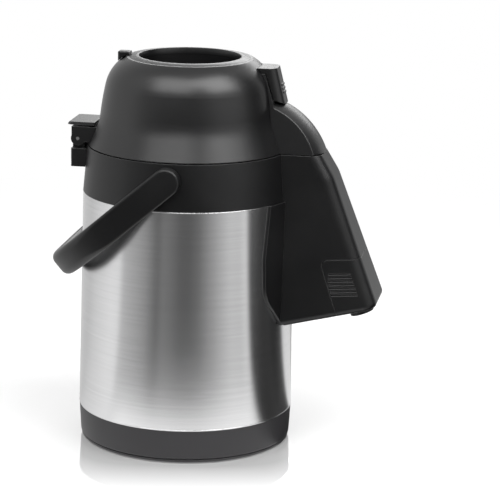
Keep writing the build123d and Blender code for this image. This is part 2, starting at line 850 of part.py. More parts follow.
# ================================================================ dome of the lid
dome_outside = dome_form(0)
with BuildPart() as dome:
    add(dome_outside)
    add(dome_form(-dome_wall), mode=Mode.SUBTRACT)
    with BuildSketch(Plane.XY.offset(dome_bottom_z - seam)):
        Circle(dome_foot_r - dome_wall)
    extrude(amount=seam + dome_wall, mode=Mode.SUBTRACT)
    with BuildSketch(Plane.XY.offset(plate_top_z)):
        Circle(mouth_r + well_wall)
    extrude(amount=dome_crown[1] - dome_wall / 2 - plate_top_z)
    with BuildSketch(Plane.XY.offset(plate_top_z)):
        with PolarLocations(lug_ring_r, lug_count, start_angle=45):
            Circle(lug_r)
        for turn in (45, 135):
            Rectangle(2 * lug_ring_r, dome_wall, rotation=turn)
    extrude(amount=lug_h)
    with BuildSketch(Plane.XY.offset(plate_bottom_z)):
        Circle(mouth_r)
    extrude(amount=dome_crown[1], mode=Mode.SUBTRACT)
    with BuildSketch(Plane.XY.offset(plate_top_z)):
        with PolarLocations(lug_ring_r, lug_count, start_angle=45):
            Circle(screw_r + fit)
    extrude(amount=screw_len, mode=Mode.SUBTRACT)
    rim = dome.edges().filter_by(GeomType.CIRCLE).filter_by(lambda e: abs(e.radius - mouth_r) < 0.01)
    fillet(rim.sort_by(Axis.Z)[-1], mouth_edge_r)
    with BuildSketch(Plane.XY.offset(dome_crown[1] - 3 * dome_wall)):
        SlotArc(CenterArc((0, 0), lock_r, 180, lock_turn), lock_stem_w + 2 * gap)
    extrude(amount=5 * dome_wall, mode=Mode.SUBTRACT)
dome.part.label = "dome"
export_step(dome.part, "parts/dome.step")

with BuildPart() as lid_plate:
    with BuildSketch(Plane.XY.offset(plate_bottom_z)):
        Circle(plate_r)
        with Locations((valve_x, 0)):
            Circle(valve_stem_r + run, mode=Mode.SUBTRACT)
    extrude(amount=plate_t)
    with Locations(Plane.XY.offset(plate_bottom_z) * Rotation(180, 0, 0)):
        with PolarLocations(lug_ring_r, lug_count, start_angle=45):
            CounterSinkHole(screw_r + fit, screw_head_r + fit)
lid_plate.part.label = "lid_plate"
export_step(lid_plate.part, "parts/lid_plate.step")

with BuildPart() as plate_screws:
    with BuildSketch(Plane.XY.offset(plate_bottom_z)):
        with PolarLocations(lug_ring_r, lug_count, start_angle=45):
            Circle(screw_head_r)
    extrude(amount=screw_head_r - screw_r, taper=45)
    with BuildSketch(Plane.XY.offset(plate_bottom_z + screw_head_r - screw_r)):
        with PolarLocations(lug_ring_r, lug_count, start_angle=45):
            Circle(screw_r)
    extrude(amount=screw_len)
plate_screws.part.label = "plate_screws"
export_step(plate_screws.part, "parts/plate_screws.step")

with BuildPart() as lid_gasket:
    with BuildSketch(Plane.XY.offset(plate_bottom_z - gasket_h)):
        Circle(sleeve_r + sleeve_wall + gasket_lap)
        Circle(sleeve_r + fit, mode=Mode.SUBTRACT)
    extrude(amount=gasket_h)
lid_gasket.part.label = "lid_gasket"
export_step(lid_gasket.part, "parts/lid_gasket.step")

with BuildPart() as air_valve:
    with BuildSketch(Plane.XY.offset(plate_bottom_z - valve_flap_t)):
        with Locations((valve_x, 0)):
            Circle(valve_r)
    extrude(amount=valve_flap_t)
    with BuildSketch(Plane.XY.offset(plate_bottom_z)):
        with Locations((valve_x, 0)):
            Circle(valve_stem_r)
    extrude(amount=plate_t)
    with BuildSketch(Plane.XY.offset(plate_top_z)):
        with Locations((valve_x, 0)):
            Circle(valve_stem_r + valve_clip_t)
    extrude(amount=valve_clip_t)
air_valve.part.label = "air_valve"
export_step(air_valve.part, "parts/air_valve.step")

# ================================================================ pump
fold_h = bellows_h / bellows_folds / 2
with BuildPart() as bellows:
    with BuildSketch(Plane.XZ):
        with BuildLine():
            outer_line = [
                (bellows_r - bellows_fold * (i % 2), plate_top_z + i * fold_h)
                for i in range(2 * bellows_folds + 1)
            ]
            inner_line = [(r - bellows_wall, z) for r, z in outer_line[:-1]]
            top_z = outer_line[-1][1]
            Polyline(
                *outer_line,
                (0, top_z),
                (0, top_z - bellows_wall),
                (inner_line[-1][0] - bellows_wall, top_z - bellows_wall),
                *reversed(inner_line),
                close=True,
            )
        make_face()
    revolve(axis=Axis.Z)
bellows.part.label = "bellows"
export_step(bellows.part, "parts/bellows.step")

spring_h = bellows_h - bellows_wall - 2 * spring_wire_r - 2 * gap
with BuildPart() as return_spring:
    with BuildLine(Plane.XY.offset(plate_top_z + gap + spring_wire_r)):
        coil = Helix(pitch=spring_h / spring_turns, height=spring_h, radius=spring_r)
    with BuildSketch(Plane(origin=coil @ 0, z_dir=coil % 0)):
        RegularPolygon(spring_wire_r, 6)
    sweep(path=coil, is_frenet=True)
return_spring.part.label = "return_spring"
export_step(return_spring.part, "parts/return_spring.step")

with BuildPart() as button:
    with BuildSketch(Plane.XZ):
        with BuildLine():
            dish = ThreePointArc(
                (0, button_top_z - button_dish),
                (button_r / 2, button_top_z - 0.75 * button_dish),
                (button_r - button_lip, button_top_z),
            )
            Polyline(
                dish @ 1,
                (button_r, button_top_z),
                (button_r, button_top_z - button_skirt_h),
                (button_r - well_wall, button_top_z - button_skirt_h),
                (button_r - well_wall, button_top_z - button_t),
                (button_r / 2, button_top_z - button_t),
                (button_r / 2, plate_top_z + bellows_h),
                (0, plate_top_z + bellows_h),
                dish @ 0,
            )
        make_face()
    revolve(axis=Axis.Z)
    rim = button.edges().filter_by(GeomType.CIRCLE).filter_by(lambda e: abs(e.radius - button_r) < 0.01)
    fillet(rim.sort_by(Axis.Z)[-1], button_edge_r)
button.part.label = "button"
export_step(button.part, "parts/button.step")

# ================================================================ button lock
with BuildPart() as button_lock:
    with BuildSketch(Plane.XY.offset(dome_crown[1] - lock_depth)):
        with Locations((-lock_r, 0)):
            Rectangle(2 * lock_half, 2 * lock_half)
    extrude(amount=lock_top_z - dome_crown[1] + lock_depth)
    fillet(button_lock.edges().filter_by(Axis.Z).group_by(Axis.X)[0], lock_corner_r)
    fillet(button_lock.faces().sort_by(Axis.Z)[-1].edges(), lock_edge_r)
    add(dome_form(gap), mode=Mode.SUBTRACT)
    with BuildSketch(Plane.XY.offset(dome_crown[1] - dome_wall - gap - lock_foot_t)):
        with Locations((-lock_r, 0)):
            Circle(lock_stem_w / 2)
    extrude(amount=dome_wall + 3 * gap + lock_foot_t)
button_lock.part.label = "button_lock"
export_step(button_lock.part, "parts/button_lock.step")

# ================================================================ front cap and lock slider
spine_plane = Plane(
    origin=(spine_foot[0], 0, spine_foot[1]),
    x_dir=(0, 1, 0),
    z_dir=(spine_top[1] - spine_foot[1], 0, spine_foot[0] - spine_top[0]),
)
with BuildPart() as front_cap:
    add(cap_form(0, dome_bottom_z))
    ridges = front_cap.edges().filter_by(
        lambda e: abs(e.center().Y) > spine_half_top / 2
        and e.center().X > spine_root_x + fit
        and e.center().Z > dome_bottom_z + cap_edge_r
    )
    fillet(ridges, cap_edge_r)
    add(spine_form(0))
    add(cap_form(cap_wall, dome_bottom_z - cap_wall), mode=Mode.SUBTRACT)
    add(dome_form(2 * fit), mode=Mode.SUBTRACT)
    with BuildSketch(spine_plane):
        with Locations((0, rail_start + rail_len / 2)):
            Rectangle(rail_neck, rail_len)
    extrude(amount=rail_step)
    with BuildSketch(spine_plane.offset(rail_step)):
        with Locations((0, rail_start + rail_len / 2)):
            Rectangle(rail_head, rail_len)
    extrude(amount=rail_step)
front_cap.part.label = "front_cap"
export_step(front_cap.part, "parts/front_cap.step")

slider_plane = Plane(
    origin=(slider_low[0], 0, slider_low[1]),
    x_dir=(0, 1, 0),
    z_dir=(slider_top[1] - slider_low[1], 0, slider_low[0] - slider_top[0]),
)
slider_h = slider_top[1] - slider_low[1]
with BuildPart() as lock_slider:
    with BuildSketch(Plane.XZ):
        with BuildLine():
            Polyline(
                (spine_root_x, slider_low[1]),
                slider_low,
                slider_top,
                (spine_root_x, slider_top[1]),
                close=True,
            )
        make_face()
    extrude(amount=slider_w / 2, both=True)
    corners = lock_slider.edges().filter_by(
        lambda e: abs((e @ 0).Y - (e @ 1).Y) < 0.01 and abs((e @ 0).Z - (e @ 1).Z) > slider_h / 2
    )
    fillet(corners.sort_by(Axis.X)[-2:], slider_corner_r)
    add(spine_form(-gap), mode=Mode.SUBTRACT)
    add(dome_form(gap), mode=Mode.SUBTRACT)
    for i in range(slider_rib_count):
        rib_y = slider_h / 2 + (i - (slider_rib_count - 1) / 2) * slider_rib_pitch
        with BuildSketch(slider_plane.offset(-slider_rib)):
            with Locations((0, rib_y)):
                Rectangle(slider_w - 2 * slider_corner_r, slider_rib_pitch / 2)
        extrude(amount=2 * slider_rib)
    with BuildSketch(spine_plane):
        with Locations((0, rail_start + (rail_len - slider_travel) / 2)):
            Rectangle(rail_neck + 2 * gap, rail_len + slider_travel + 2 * gap)
    extrude(amount=rail_step + gap, mode=Mode.SUBTRACT)
    with BuildSketch(spine_plane.offset(rail_step - gap)):
        with Locations((0, rail_start + (rail_len - slider_travel) / 2)):
            Rectangle(rail_head + 2 * gap, rail_len + slider_travel + 2 * gap)
    extrude(amount=rail_step + 2 * gap, mode=Mode.SUBTRACT)
    with BuildSketch(Plane.XZ):
        with Locations(cap_centre):
            Circle(cap_r + slider_gap)
    extrude(amount=slider_w, both=True, mode=Mode.SUBTRACT)
lock_slider.part.label = "lock_slider"
export_step(lock_slider.part, "parts/lock_slider.step")

# ================================================================ rear hinge
release_eye_r = release_pin_r + release_pin_wall
release_pin_z = yoke_top_z + release_gap - gap - release_eye_r
release_ear_y = release_knuckle_half + gap + release_ear_w / 2
with BuildPart() as hinge_yoke:
    with BuildSketch(Plane.XZ):
        with BuildLine():
            Polyline(
                (pin_x, pin_z - cheek_r),
                (pin_x, yoke_top_z),
                (yoke_root_x, yoke_top_z),
                (yoke_root_x, dome_bottom_z + gap),
                (pin_x + cheek_r, dome_bottom_z + gap),
                close=True,
            )
        make_face()
        with Locations((pin_x, pin_z)):
            Circle(cheek_r)
        with Locations(((yoke_rear_x + pin_x) / 2, (pin_z + yoke_top_z) / 2)):
            Rectangle(pin_x - yoke_rear_x, yoke_top_z - pin_z)
    extrude(amount=hinge_half, both=True)
    with BuildSketch(Plane.XZ):
        with Locations((yoke_rear_x, bridge_bottom_z - hinge_half)):
            Rectangle(2 * (yoke_root_x - yoke_rear_x), 2 * hinge_half)
    extrude(amount=hinge_half - cheek_w, both=True, mode=Mode.SUBTRACT)
    with BuildSketch(Plane.XZ):
        with Locations((pin_x, pin_z)):
            Circle(pin_r + run)
    extrude(amount=2 * hinge_half, both=True, mode=Mode.SUBTRACT)
    add(dome_form(fit), mode=Mode.SUBTRACT)
    with Locations((release_pin_x, 0, bridge_bottom_z)):
        Box(
            2 * release_eye_r + 4 * gap,
            2 * release_knuckle_half + 2 * gap,
            4 * cheek_w,
            mode=Mode.SUBTRACT,
        )
    for y in (-release_ear_y, release_ear_y):
        with BuildSketch(Plane.XZ.offset(y)):
            with Locations((release_pin_x, release_pin_z)):
                Circle(release_eye_r)
        extrude(amount=release_ear_w / 2, both=True)
        with BuildSketch(Plane.XZ.offset(y)):
            with Locations((release_pin_x, release_pin_z)):
                Circle(release_pin_r + run)
        extrude(amount=release_ear_w, both=True, mode=Mode.SUBTRACT)
hinge_yoke.part.label = "hinge_yoke"
export_step(hinge_yoke.part, "parts/hinge_yoke.step")

with BuildPart() as hinge_block:
    with BuildSketch(Plane.XZ):
        with Locations(((block_rear_x + block_root_x) / 2, (block_bottom_z + block_top_z) / 2)):
            Rectangle(block_root_x - block_rear_x, block_top_z - block_bottom_z)
    extrude(amount=hinge_half, both=True)
    fillet(hinge_block.edges().filter_by(Axis.Z).group_by(Axis.X)[0], block_edge_r)
    for i in range(block_groove_count):
        with Locations((block_rear_x, 0, block_bottom_z + block_groove_up + i * block_groove_pitch)):
            Box(2 * block_groove_d, 4 * hinge_half, block_groove_w, mode=Mode.SUBTRACT)
    with BuildSketch(Plane.XZ):
        with Locations((pin_x, pin_z)):
            Circle(knuckle_r)
        with Locations((pin_x, (pin_z + block_top_z - knuckle_root) / 2)):
            Rectangle(2 * (knuckle_r - knuckle_inset), pin_z - block_top_z + knuckle_root)
    extrude(amount=hinge_half - cheek_w - gap, both=True)
    with BuildSketch(Plane.XZ):
        with Locations((pin_x, pin_z)):
            Circle(pin_r + run)
    extrude(amount=2 * hinge_half, both=True, mode=Mode.SUBTRACT)
    add(body_form(fit, fit), mode=Mode.SUBTRACT)
hinge_block.part.label = "hinge_block"
export_step(hinge_block.part, "parts/hinge_block.step")

with BuildPart() as hinge_pin:
    with BuildSketch(Plane.XZ):
        with Locations((pin_x, pin_z)):
            Circle(pin_r)
    extrude(amount=hinge_half, both=True)
hinge_pin.part.label = "hinge_pin"
export_step(hinge_pin.part, "parts/hinge_pin.step")

# ================================================================ bail handle
rest = radians(bail_rest)
bail_plane = Plane(
    origin=(0, 0, bail_z),
    x_dir=(-cos(rest), 0, -sin(rest)),
    z_dir=(-sin(rest), 0, cos(rest)),
)
bail_half = bail_inner_half + bail_t
bail_reach = bail_inner_reach + bail_grip_t
stud_screw_y = stud_end - washer_t
with BuildPart() as bail_handle:
    with BuildSketch(bail_plane):
        with Locations((bail_reach / 2, 0)):
            outline = Rectangle(bail_reach, 2 * bail_half)
        fillet(outline.vertices().group_by(Axis.X)[-1], bail_corner_r + bail_t)
    extrude(amount=bail_h / 2, both=True)
    with BuildSketch(bail_plane):
        with Locations((bail_inner_reach / 2, 0)):
            outline = Rectangle(bail_inner_reach, 2 * bail_inner_half)
        fillet(outline.vertices().group_by(Axis.X)[-1], bail_corner_r)
    extrude(amount=bail_h, both=True, mode=Mode.SUBTRACT)
    for turn in (0, 180):
        with BuildSketch(Plane.XZ.rotated((0, 0, turn)).offset(bail_inner_half)):
            with Locations((0, bail_z)):
                Circle(bail_h / 2)
        extrude(amount=bail_t)
    long_edges = bail_handle.edges().filter_by(lambda e: e.length > bail_t + bail_bevel)
    fillet(long_edges, bail_bevel)
    with BuildSketch(Plane(origin=bail_plane.origin, x_dir=bail_plane.x_dir, z_dir=(0, 1, 0))):
        with Locations((bail_reach / 2 - bail_h, 0)):
            side = Rectangle(bail_reach + 2 * bail_h, bail_h)
        fillet(side.vertices().group_by(Axis.X)[-1], bail_end_r)
    extrude(amount=2 * bail_half, both=True, mode=Mode.INTERSECT)
    add(body_form(bail_relief, bail_relief), mode=Mode.SUBTRACT)
    for turn in (0, 180):
        with BuildSketch(Plane.XZ.rotated((0, 0, turn)).offset(collar_r(bail_z - stud_boss_r) + gap)):
            with Locations((0, bail_z)):
                Circle(stud_boss_r)
        extrude(amount=bail_inner_half - collar_r(bail_z - stud_boss_r) - gap)
        with BuildSketch(Plane.XZ.rotated((0, 0, turn)).offset(stud_end)):
            with Locations((0, bail_z)):
                Circle(stud_r)
        extrude(amount=bail_inner_half - stud_end)
        with BuildSketch(Plane.XZ.rotated((0, 0, turn)).offset(stud_end)):
            with Locations((0, bail_z)):
                Circle(screw_r + fit)
        extrude(amount=screw_len, mode=Mode.SUBTRACT)
bail_handle.part.label = "bail_handle"
export_step(bail_handle.part, "parts/bail_handle.step")

with BuildPart() as bail_washers:
    for turn in (0, 180):
        with BuildSketch(Plane.XZ.rotated((0, 0, turn)).offset(stud_screw_y)):
            with Locations((0, bail_z)):
                Circle(washer_r)
                Circle(screw_r + fit, mode=Mode.SUBTRACT)
        extrude(amount=washer_t)
bail_washers.part.label = "bail_washers"
export_step(bail_washers.part, "parts/bail_washers.step")

with BuildPart() as bail_screws:
    for turn in (0, 180):
        head_plane = Plane.XZ.rotated((0, 0, turn)).offset(stud_screw_y)
        with BuildSketch(head_plane):
            with Locations((0, bail_z)):
                Circle(screw_head_r)
        extrude(amount=-screw_head_h)
        with BuildSketch(head_plane):
            with Locations((0, bail_z)):
                Circle(screw_r)
        extrude(amount=washer_t + screw_len - screw_spare)
bail_screws.part.label = "bail_screws"
export_step(bail_screws.part, "parts/bail_screws.step")

# ================================================================ hinge release
release_z = yoke_top_z + release_gap
with BuildPart() as release_lever:
    with BuildSketch(Plane.XZ):
        with BuildLine():
            Polyline(
                (release_front_x, release_z),
                (release_front_x, release_z + release_t),
                (release_rear_x + release_beak, release_z + release_t),
                (release_rear_x, release_z + 2 * fit),
                (release_rear_x + release_beak / 2, release_z),
                close=True,
            )
        make_face()
    extrude(amount=hinge_half, both=True)
    with BuildSketch(Plane.XY.offset(release_z)):
        with Locations(((release_rear_x + release_front_x) / 2, 0)):
            plan = Rectangle(release_front_x - release_rear_x, 2 * hinge_half)
        fillet(plan.vertices().group_by(Axis.X)[0], release_corner_r)
    extrude(amount=release_t, mode=Mode.INTERSECT)
    with BuildSketch(Plane.XZ):
        with Locations((release_pin_x, release_pin_z)):
            Circle(release_eye_r)
        with Locations((release_pin_x, (release_pin_z + release_z) / 2)):
            Rectangle(2 * release_pin_r, release_z - release_pin_z)
    extrude(amount=release_knuckle_half, both=True)
    with BuildSketch(Plane.XZ):
        with Locations((release_pin_x, release_pin_z)):
            Circle(release_pin_r + run)
    extrude(amount=hinge_half, both=True, mode=Mode.SUBTRACT)
release_lever.part.label = "release_lever"
export_step(release_lever.part, "parts/release_lever.step")

with BuildPart() as release_pin:
    with BuildSketch(Plane.XZ):
        with Locations((release_pin_x, release_pin_z)):
            Circle(release_pin_r)
    extrude(amount=release_ear_y + release_ear_w / 2, both=True)
release_pin.part.label = "release_pin"
export_step(release_pin.part, "parts/release_pin.step")
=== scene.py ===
import math

import bmesh
import bpy
from mathutils import Matrix, Vector


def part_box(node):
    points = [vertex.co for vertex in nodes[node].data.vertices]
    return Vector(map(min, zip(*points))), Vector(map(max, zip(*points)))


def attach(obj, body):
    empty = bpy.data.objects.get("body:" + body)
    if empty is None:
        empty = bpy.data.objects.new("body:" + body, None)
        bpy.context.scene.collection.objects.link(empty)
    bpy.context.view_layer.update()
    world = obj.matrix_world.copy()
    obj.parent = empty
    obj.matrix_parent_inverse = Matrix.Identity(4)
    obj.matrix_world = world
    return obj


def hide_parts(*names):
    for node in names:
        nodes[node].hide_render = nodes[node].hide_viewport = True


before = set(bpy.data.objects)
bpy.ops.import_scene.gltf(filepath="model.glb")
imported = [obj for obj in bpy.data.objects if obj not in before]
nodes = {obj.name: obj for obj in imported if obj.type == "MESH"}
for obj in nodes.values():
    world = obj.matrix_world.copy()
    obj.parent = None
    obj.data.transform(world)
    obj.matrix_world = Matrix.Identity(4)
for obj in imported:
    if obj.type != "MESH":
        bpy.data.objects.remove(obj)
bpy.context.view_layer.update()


# Camera: a long lens a little above the lid, turned to the right of the airpot's side so that the spout
# reaches forward to the right. It stands 1.8 m from the body's axis and looks slightly down.
def put(name, data):
    """A new object of that name in the scene."""
    made = bpy.data.objects.new(name, data)
    bpy.context.scene.collection.objects.link(made)
    return made


def way_to(turn, lift=0.0):
    """The way from the airpot towards a turn and a lift round it. Turn 0 is -Y, and turns grow towards +X."""
    return Vector((math.sin(turn) * math.cos(lift), -math.cos(turn) * math.cos(lift), math.sin(lift)))


camera_turn = math.radians(11.0)
camera_away, camera_height = 1.8, 0.589
look_turn = math.radians(9.448)
look_down = math.radians(13.76)
roll = math.radians(1.18)
eye = way_to(camera_turn) * camera_away + Vector((0.0, 0.0, camera_height))
forward = -way_to(look_turn, look_down)
level = Vector((math.cos(look_turn), math.sin(look_turn), 0.0))
upright = level.cross(forward)
across = level * math.cos(roll) + upright * math.sin(roll)
above = upright * math.cos(roll) - level * math.sin(roll)
camera_data = bpy.data.cameras.new("camera")
camera_data.sensor_width = 36.0
camera_data.lens = 171.14
camera_data.clip_end = 50.0
camera = put("camera", camera_data)
camera.matrix_world = Matrix.Translation(eye) @ Matrix((across, above, -forward)).transposed().to_4x4()
bpy.context.scene.camera = camera
bpy.context.scene.view_settings.view_transform = "Standard"


# Studio: a glossy white table that runs back to white, two soft boxes high at the left and right, one low
# behind, and a room that is white at the sides and back and dim behind the camera, with a painted dark patch
# on the table that only reflections see.
class Wire:
    """One socket of a shader tree. Arithmetic on it adds Math nodes."""

    def __init__(self, finish, socket):
        self.finish = finish
        self.socket = socket

    def _math(self, operation, a, b):
        return self.finish.node("ShaderNodeMath", {"operation": operation}, {0: a, 1: b})

    def __add__(self, other):
        return self._math("ADD", self, other)

    def __radd__(self, other):
        return self._math("ADD", other, self)

    def __sub__(self, other):
        return self._math("SUBTRACT", self, other)

    def __rsub__(self, other):
        return self._math("SUBTRACT", other, self)

    def __mul__(self, other):
        return self._math("MULTIPLY", self, other)

    def __rmul__(self, other):
        return self._math("MULTIPLY", other, self)

    def __truediv__(self, other):
        return self._math("DIVIDE", self, other)

    def __pow__(self, other):
        return self._math("POWER", self, other)


class Finish:
    """The shader tree of a material or of the room, with a method for each node or group of nodes in it."""

    def __init__(self, owner):
        owner.use_nodes = True
        self.owner = owner
        self.tree = owner.node_tree
        self.tree.nodes.clear()

    def node(self, kind, settings=None, sockets=None, out=0):
        """Adds a node of that kind and gives its output as a Wire. A ramp's stops go in settings."""
        made = self.tree.nodes.new(kind)
        for key, value in (settings or {}).items():
            if key == "stops":
                ramp = made.color_ramp
                while len(ramp.elements) < len(value):
                    ramp.elements.new(1.0)
                for element, (position, colour) in zip(ramp.elements, value):
                    element.position = position
                    element.color = colour
            elif key == "blend":
                made.color_ramp.interpolation = value
            else:
                setattr(made, key, value)
        for key, value in (sockets or {}).items():
            if isinstance(value, Wire):
                self.tree.links.new(value.socket, made.inputs[key])
            else:
                made.inputs[key].default_value = value
        if not len(made.outputs):
            return None
        return Wire(self, made.outputs[out])

    def axes(self, position):
        """The three numbers of a position."""
        split = self.node("ShaderNodeSeparateXYZ", None, {0: position})
        return tuple(Wire(self, socket) for socket in split.socket.node.outputs)

    def step(self, value, low, high):
        """0 below low, 1 above high, eased between."""
        return self.node(
            "ShaderNodeMapRange",
            {"interpolation_type": "SMOOTHSTEP"},
            {"Value": value, "From Min": low, "From Max": high, "To Min": 0.0, "To Max": 1.0},
        )

    def blend(self, amount, first, second):
        """The first colour at 0, the second at 1."""
        return self.node("ShaderNodeMix", {"data_type": "RGBA"}, {0: amount, 6: first, 7: second}, out=2)

    def either(self, amount, first, second):
        """The first shader at 0, the second at 1."""
        return self.node("ShaderNodeMixShader", None, {0: amount, 1: first, 2: second})

    def glow(self, colour, strength=1.0, kind="ShaderNodeEmission"):
        """Light of that colour."""
        return self.node(kind, None, {"Color": colour, "Strength": strength})

    def noise(self, place, scale, detail):
        """Clouds of that scale."""
        return self.node("ShaderNodeTexNoise", None, {"Vector": place, "Scale": scale, "Detail": detail})

    def turn(self, x, y):
        """The turn round the airpot at that place, as for way_to."""
        return self.node("ShaderNodeMath", {"operation": "ARCTAN2"}, {0: x, 1: 0.0 - y})

    def close(self, shader, kind="ShaderNodeOutputMaterial"):
        """Ends the tree in that shader."""
        self.node(kind, None, {"Surface": shader})


def grey(value):
    """An opaque neutral colour."""
    return (value, value, value, 1.0)


def round_room(finish, turn):
    """What stands round the airpot at each turn: white at the sides and back, dim towards the camera."""
    stops = [
        (-180, 0.90), (-150, 0.66), (-124, 0.64), (-108, 0.78), (-84, 0.94), (-74, 0.92), (-69, 0.58),
        (-52, 0.42), (-43, 0.32), (-34, 0.17), (-30, 0.13), (-25, 0.20), (-16, 0.16), (-7, 0.10),
        (2, 0.10), (12, 0.16), (27, 0.37), (45, 0.66), (56, 0.63), (64, 0.88), (78, 0.84),
        (85, 0.07), (98, 0.03), (114, 0.04), (120, 0.86), (138, 0.80), (152, 0.42), (160, 0.30),
    ]
    turned = math.degrees(camera_turn)
    placed = sorted((((turn_at + turned) / 360.0 + 0.5) % 1.0, value) for turn_at, value in stops)
    return finish.node(
        "ShaderNodeValToRGB",
        {"stops": [(position, grey(value)) for position, value in placed], "blend": "LINEAR"},
        {0: turn / (2.0 * math.pi) + 0.5},
    )


table_size, table_drop = 12.0, 0.0004
table_mesh = bpy.data.meshes.new("table")
table_mesh.from_pydata(
    [(x * table_size, y * table_size, -table_drop) for x, y in ((-1, -1), (1, -1), (1, 1), (-1, 1))],
    [],
    [(0, 1, 2, 3)],
)
table = put("table", table_mesh)
table_gloss = Finish(bpy.data.materials.new("table_gloss"))
table_place = table_gloss.node("ShaderNodeTexCoord", out=3)
table_x, table_y, _ = table_gloss.axes(table_place)
table_reach = table_gloss.node("ShaderNodeVectorMath", {"operation": "LENGTH"}, {0: table_place}, out=1)
table_turn = table_gloss.turn(table_x, table_y)
seen_camera = table_gloss.node("ShaderNodeLightPath", out=0)
seen_glossy = table_gloss.node("ShaderNodeLightPath", out=3)
seen_through = table_gloss.node("ShaderNodeLightPath", out=6)

# What the camera sees of it: matt with a mirror's gloss close to the airpot, and plain white far off.
table_matt = table_gloss.node("ShaderNodeBsdfDiffuse", None, {"Color": grey(0.76)})
table_glow = table_gloss.glow(grey(1.0), 0.25)
table_lit = table_gloss.node("ShaderNodeAddShader", None, {0: table_matt, 1: table_glow})
table_rough = table_gloss.noise(table_place, 9.0, 3.0) * 0.03 + 0.02
table_mirror = table_gloss.node("ShaderNodeBsdfGlossy", None, {"Color": grey(1.0), "Roughness": table_rough})
along = table_x * math.cos(camera_turn) + table_y * math.sin(camera_turn)
towards = table_x * math.sin(camera_turn) - table_y * math.cos(camera_turn)
along_squared, towards_squared = along * along, towards * towards
table_square = (along_squared * along_squared + towards_squared * towards_squared) ** 0.25
gloss_from, gloss_to, gloss_most = 0.085, 0.168, 0.60
table_shine = table_gloss.node("ShaderNodeMapRange", None, {
    "Value": table_square,
    "From Min": gloss_from,
    "From Max": gloss_to,
    "To Min": gloss_most,
    "To Max": 0.0,
})
white_from, white_to = 0.30, 0.95
table_seen = table_gloss.either(
    table_gloss.step(table_reach, white_from, white_to),
    table_gloss.either(table_shine, table_lit, table_mirror),
    table_gloss.glow(grey(1.0)),
)

# What the steel mirrors of it is a painted reflection, a glow that only glossy rays see: the room's tones,
# a painted bright pool of light in front, and a painted dark patch at the right that stands in for a dark
# thing reflected there.
# Painted bright pool of light in front, seen only in reflections.
pool_from, pool_to, pool_tone = 0.19, 0.27, 1.22
# Painted dark patch at the right, seen only in reflections: a painted reflection of a dark thing, not a card.
painted_dark_from, painted_dark_to, painted_dark_tone = (74.0, 79.0), (99.5, 104.0), 0.04
front_from, front_to = 0.05, 0.60
table_front = table_gloss.step(towards / table_reach, front_from, front_to)
table_pool = table_front * (1.0 - table_gloss.step(table_reach, pool_from, pool_to))
table_painted_dark = table_gloss.step(table_turn, *map(math.radians, painted_dark_from)) * (
    1.0 - table_gloss.step(table_turn, *map(math.radians, painted_dark_to))
)
table_tone = table_gloss.blend(table_pool, round_room(table_gloss, table_turn), grey(pool_tone))
table_mirrored = table_gloss.glow(table_gloss.blend(table_painted_dark, table_tone, grey(painted_dark_tone)))
table_other = table_gloss.either(seen_glossy + seen_through, table_matt, table_mirrored)
table_gloss.close(table_gloss.either(seen_camera, table_other, table_seen))
table_mesh.materials.append(table_gloss.owner)


def soft_box(name, turn, lift, distance, width, height, power):
    """A rectangular lamp at that turn and lift round the airpot, aimed at its middle."""
    lamp_data = bpy.data.lights.new(name, "AREA")
    lamp_data.shape = "RECTANGLE"
    lamp_data.size = width
    lamp_data.size_y = height
    lamp_data.energy = power
    lamp = put(name, lamp_data)
    away = way_to(math.radians(turn), math.radians(lift))
    turned = away.to_track_quat("Z", "Y").to_matrix().to_4x4()
    lamp.matrix_world = Matrix.Translation(body_middle + away * distance) @ turned
    lamp.visible_camera = False


body_middle = Vector((0.01, 0.0, 0.16))
soft_box("left_box", turn=-15.0, lift=50.0, distance=1.6, width=1.42, height=1.05, power=16.5)
soft_box("right_box", turn=60.0, lift=50.0, distance=1.6, width=1.10, height=1.05, power=18.5)
soft_box("back_box", turn=172.0, lift=24.0, distance=2.0, width=1.5, height=0.6, power=9.0)

room = Finish(bpy.data.worlds.new("room"))
bpy.context.scene.world = room.owner
room_way = room.node("ShaderNodeTexCoord", out=0)
room_x, room_y, room_z = room.axes(room_way)
ceiling_from, ceiling_to, ceiling_tone = 0.60, 0.92, 0.55
room_walls = round_room(room, room.turn(room_x, room_y))
room_light = room.blend(room.step(room_z, ceiling_from, ceiling_to), room_walls, grey(ceiling_tone))
room_seen = room.node("ShaderNodeLightPath", out=0)
room_glow = room.glow(room_light, kind="ShaderNodeBackground")
room_white = room.glow(grey(1.0), kind="ShaderNodeBackground")
room.close(room.either(room_seen, room_glow, room_white), "ShaderNodeOutputWorld")


# Swivel foot: a flat moulded disc that the airpot turns on. Rubber dots under it grip the counter, and one
# more hides the screw that holds it to the base through a wide steel washer.
def coat(name, finish):
    """Gives a CAD piece that finish."""
    for slot in range(len(nodes[name].data.materials)):
        nodes[name].data.materials[slot] = finish.owner


def paler(colour, more=0.0):
    """An opaque colour, made paler by that much."""
    return (*(part + more for part in colour), 1.0)


